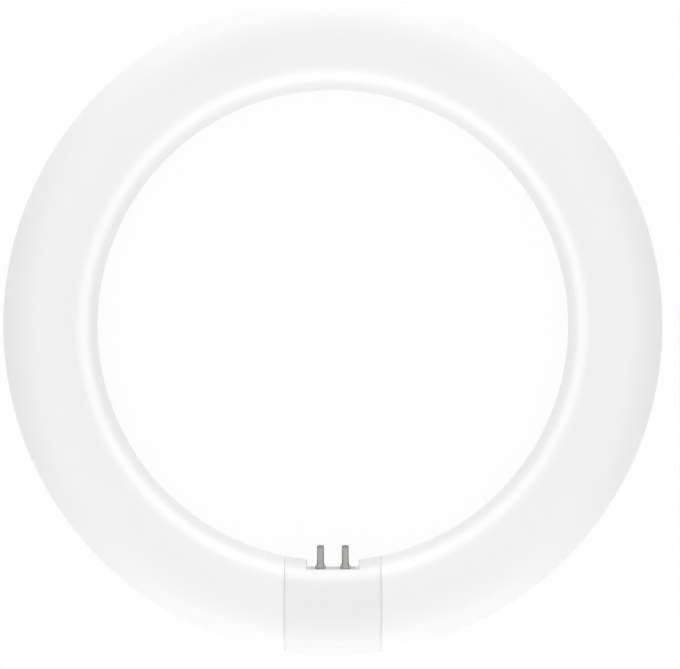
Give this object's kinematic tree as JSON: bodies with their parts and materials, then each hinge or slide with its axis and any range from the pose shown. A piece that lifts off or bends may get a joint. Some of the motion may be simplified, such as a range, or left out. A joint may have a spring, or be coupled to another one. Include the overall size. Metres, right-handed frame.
{
  "type": "circular led tube",
  "caption": "Ring-shaped opal LED lamp tube with a white base collar and contact pins pointing to the ring's centre.",
  "frame": {"origin": "centre of the ring, on the middle plane of the tube", "axes": "+Z along the ring's axis, out of the light side; +Y from the base to the ring's centre, the way the pins point; +X to the right seen from the light side"},
  "size_m": [0.21, 0.21, 0.03],
  "materials": {
    "opal_plastic": "satin opal polycarbonate",
    "white_plastic": "satin moulded polycarbonate",
    "collar_plastic": "satin moulded PBT",
    "block_plastic": "matt glass-filled PBT",
    "pin_metal": "nickel-plated, turned",
    "screw_steel": "zinc-plated",
    "light_board": "white solder mask on aluminium core",
    "led_package": "white package with phosphor window",
    "circuit_board": "green solder mask on glass-epoxy",
    "copper": "enamelled copper wire",
    "ferrite": "sintered ferrite",
    "black_resin": "moulded epoxy",
    "capacitor_sleeve": "shrunk sleeve on aluminium can",
    "resistor_coat": "flameproof lacquer",
    "link_metal": "tinned",
    "lead_sheath": "silicone sheath"
  },
  "bodies": {
    "root": {"front_diffuser": "opal_plastic", "rear_housing": "white_plastic", "base_front_shell": "collar_plastic", "base_rear_shell": "collar_plastic", "pin_block": "block_plastic", "contact_pin_front_left": "pin_metal", "contact_pin_front_right": "pin_metal", "contact_pin_rear_left": "pin_metal", "contact_pin_rear_right": "pin_metal", "input_board": "circuit_board", "fusible_resistors": "resistor_coat", "base_screws": "screw_steel", "board_screws": "screw_steel", "driver_screw": "screw_steel", "board_links": "link_metal", "driver_board": "circuit_board", "bridge_rectifier": "black_resin", "driver_chip": "black_resin", "input_capacitor": "capacitor_sleeve", "output_capacitor": "capacitor_sleeve", "choke_core": "ferrite", "choke_winding": "copper", "output_header_body": "black_resin", "output_header_pins": "link_metal", "supply_lead_near": "lead_sheath", "supply_lead_far": "lead_sheath", "light_board_1": "light_board", "leds_1": "led_package", "light_board_2": "light_board", "leds_2": "led_package", "light_board_3": "light_board", "leds_3": "led_package", "light_board_4": "light_board", "leds_4": "led_package"}
  },
  "joints": []
}
